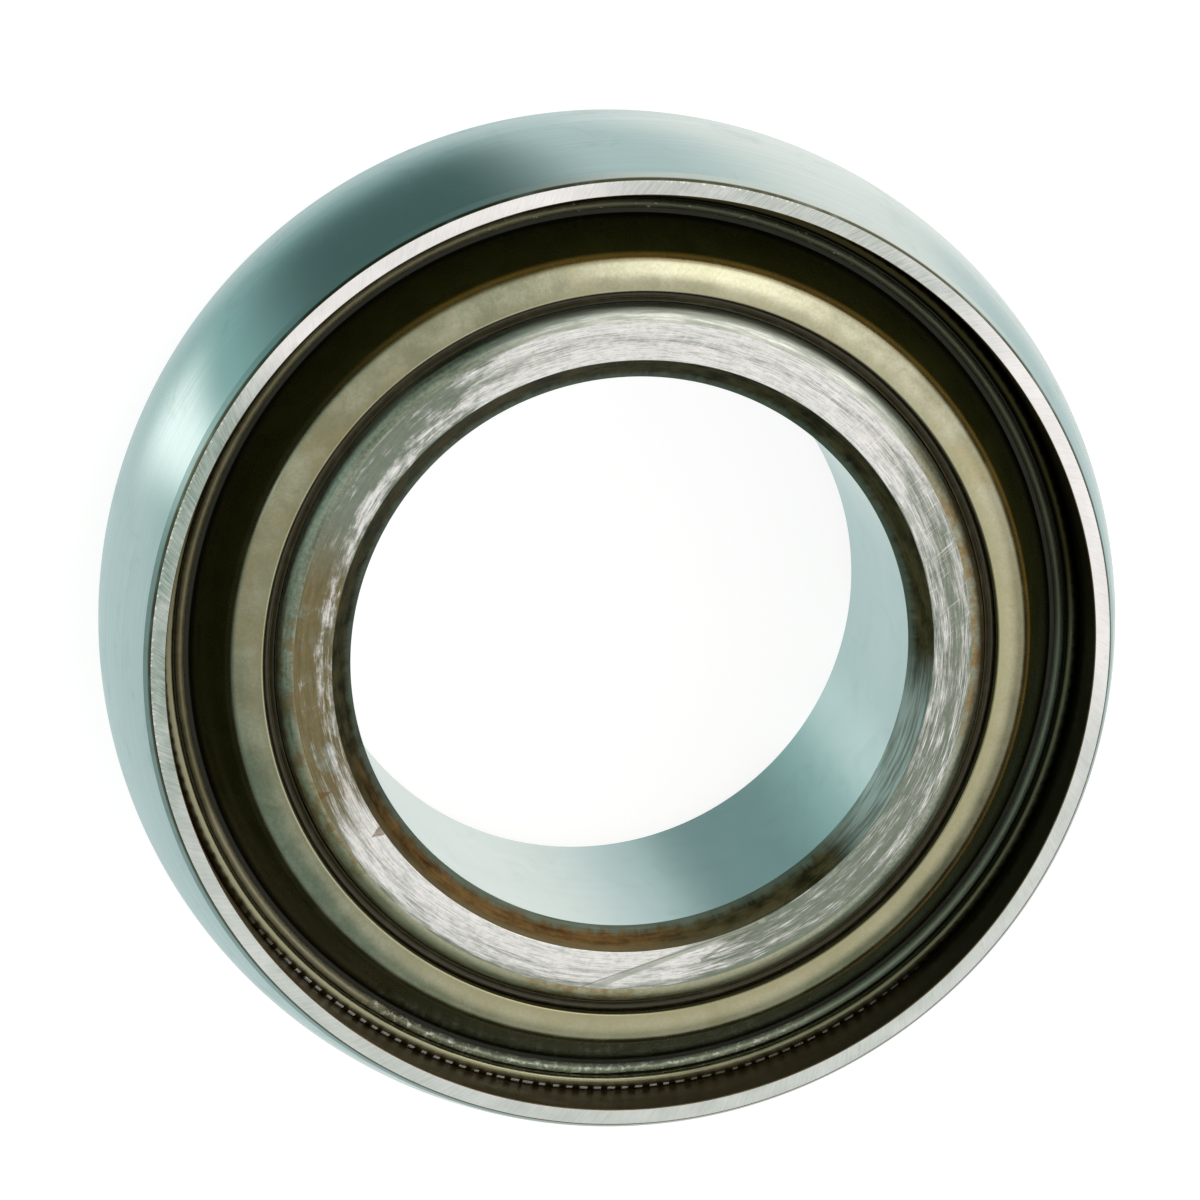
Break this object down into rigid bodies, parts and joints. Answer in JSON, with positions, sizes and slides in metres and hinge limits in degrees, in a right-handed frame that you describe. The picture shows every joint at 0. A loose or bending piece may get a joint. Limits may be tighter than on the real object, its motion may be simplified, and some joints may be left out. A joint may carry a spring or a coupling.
{
  "type": "sealed ball bearing with a spherical outer ring",
  "caption": "Sealed ball bearing with a spherical outer ring, a wide inner ring with a round chamfered bore, and a stepped metal-shrouded seal in a deep recess on each side.",
  "frame": {"origin": "centre of the bearing, on the bore's axis, halfway between the two ring faces", "axes": "+Z along the bore's axis, out of the front side; +X through the first ball"},
  "size_m": [0.09, 0.09, 0.0302],
  "materials": {
    "outer_ring_steel": "ground",
    "inner_ring_steel": "ground, stained",
    "ball_steel": "polished",
    "cage_steel": "pressed sheet",
    "rivet_steel": "satin",
    "carrier_steel": "dark plated, satin",
    "shroud_plating": "yellow chromate over zinc, satin",
    "seal_rubber": "matt"
  },
  "bodies": {
    "outer_ring_assembly": {"outer_ring": "outer_ring_steel", "front_seal_carrier": "carrier_steel", "front_seal_lips": "seal_rubber", "front_seal_shroud": "shroud_plating", "back_seal_carrier": "carrier_steel", "back_seal_lips": "seal_rubber", "back_seal_shroud": "shroud_plating"},
    "inner_ring": {"inner_ring": "inner_ring_steel"},
    "cage": {"cage_front_half": "cage_steel", "cage_back_half": "cage_steel", "cage_rivet_01": "rivet_steel", "cage_rivet_02": "rivet_steel", "cage_rivet_03": "rivet_steel", "cage_rivet_04": "rivet_steel", "cage_rivet_05": "rivet_steel", "cage_rivet_06": "rivet_steel", "cage_rivet_07": "rivet_steel", "cage_rivet_08": "rivet_steel", "cage_rivet_09": "rivet_steel", "cage_rivet_10": "rivet_steel"},
    "ball_01": {"ball_01": "ball_steel"},
    "ball_02": {"ball_02": "ball_steel"},
    "ball_03": {"ball_03": "ball_steel"},
    "ball_04": {"ball_04": "ball_steel"},
    "ball_05": {"ball_05": "ball_steel"},
    "ball_06": {"ball_06": "ball_steel"},
    "ball_07": {"ball_07": "ball_steel"},
    "ball_08": {"ball_08": "ball_steel"},
    "ball_09": {"ball_09": "ball_steel"},
    "ball_10": {"ball_10": "ball_steel"}
  },
  "joints": [
    {"name": "inner_ring_spin", "type": "hinge", "parent": "outer_ring_assembly", "child": "inner_ring", "pos_m": [0, 0, 0], "axis": [0, 0, 1], "continuous": true},
    {"name": "cage_spin", "type": "hinge", "parent": "outer_ring_assembly", "child": "cage", "pos_m": [0, 0, 0], "axis": [0, 0, 1], "continuous": true},
    {"name": "ball_01_spin", "type": "hinge", "parent": "cage", "child": "ball_01", "pos_m": [0.035, 0, 0], "axis": [0, 0, 1], "continuous": true},
    {"name": "ball_02_spin", "type": "hinge", "parent": "cage", "child": "ball_02", "pos_m": [0.02832, 0.02057, 0], "axis": [0, 0, 1], "continuous": true},
    {"name": "ball_03_spin", "type": "hinge", "parent": "cage", "child": "ball_03", "pos_m": [0.01082, 0.03329, 0], "axis": [0, 0, 1], "continuous": true},
    {"name": "ball_04_spin", "type": "hinge", "parent": "cage", "child": "ball_04", "pos_m": [-0.01082, 0.03329, 0], "axis": [0, 0, 1], "continuous": true},
    {"name": "ball_05_spin", "type": "hinge", "parent": "cage", "child": "ball_05", "pos_m": [-0.02832, 0.02057, 0], "axis": [0, 0, 1], "continuous": true},
    {"name": "ball_06_spin", "type": "hinge", "parent": "cage", "child": "ball_06", "pos_m": [-0.035, 0, 0], "axis": [0, 0, 1], "continuous": true},
    {"name": "ball_07_spin", "type": "hinge", "parent": "cage", "child": "ball_07", "pos_m": [-0.02832, -0.02057, 0], "axis": [0, 0, 1], "continuous": true},
    {"name": "ball_08_spin", "type": "hinge", "parent": "cage", "child": "ball_08", "pos_m": [-0.01082, -0.03329, 0], "axis": [0, 0, 1], "continuous": true},
    {"name": "ball_09_spin", "type": "hinge", "parent": "cage", "child": "ball_09", "pos_m": [0.01082, -0.03329, 0], "axis": [0, 0, 1], "continuous": true},
    {"name": "ball_10_spin", "type": "hinge", "parent": "cage", "child": "ball_10", "pos_m": [0.02832, -0.02057, 0], "axis": [0, 0, 1], "continuous": true}
  ],
  "couplings": [
    {"joint": "cage_spin", "follows": "inner_ring_spin", "ratio": 0.40929},
    {"joint": "ball_01_spin", "follows": "inner_ring_spin", "ratio": -2.6652},
    {"joint": "ball_02_spin", "follows": "inner_ring_spin", "ratio": -2.6652},
    {"joint": "ball_03_spin", "follows": "inner_ring_spin", "ratio": -2.6652},
    {"joint": "ball_04_spin", "follows": "inner_ring_spin", "ratio": -2.6652},
    {"joint": "ball_05_spin", "follows": "inner_ring_spin", "ratio": -2.6652},
    {"joint": "ball_06_spin", "follows": "inner_ring_spin", "ratio": -2.6652},
    {"joint": "ball_07_spin", "follows": "inner_ring_spin", "ratio": -2.6652},
    {"joint": "ball_08_spin", "follows": "inner_ring_spin", "ratio": -2.6652},
    {"joint": "ball_09_spin", "follows": "inner_ring_spin", "ratio": -2.6652},
    {"joint": "ball_10_spin", "follows": "inner_ring_spin", "ratio": -2.6652}
  ]
}
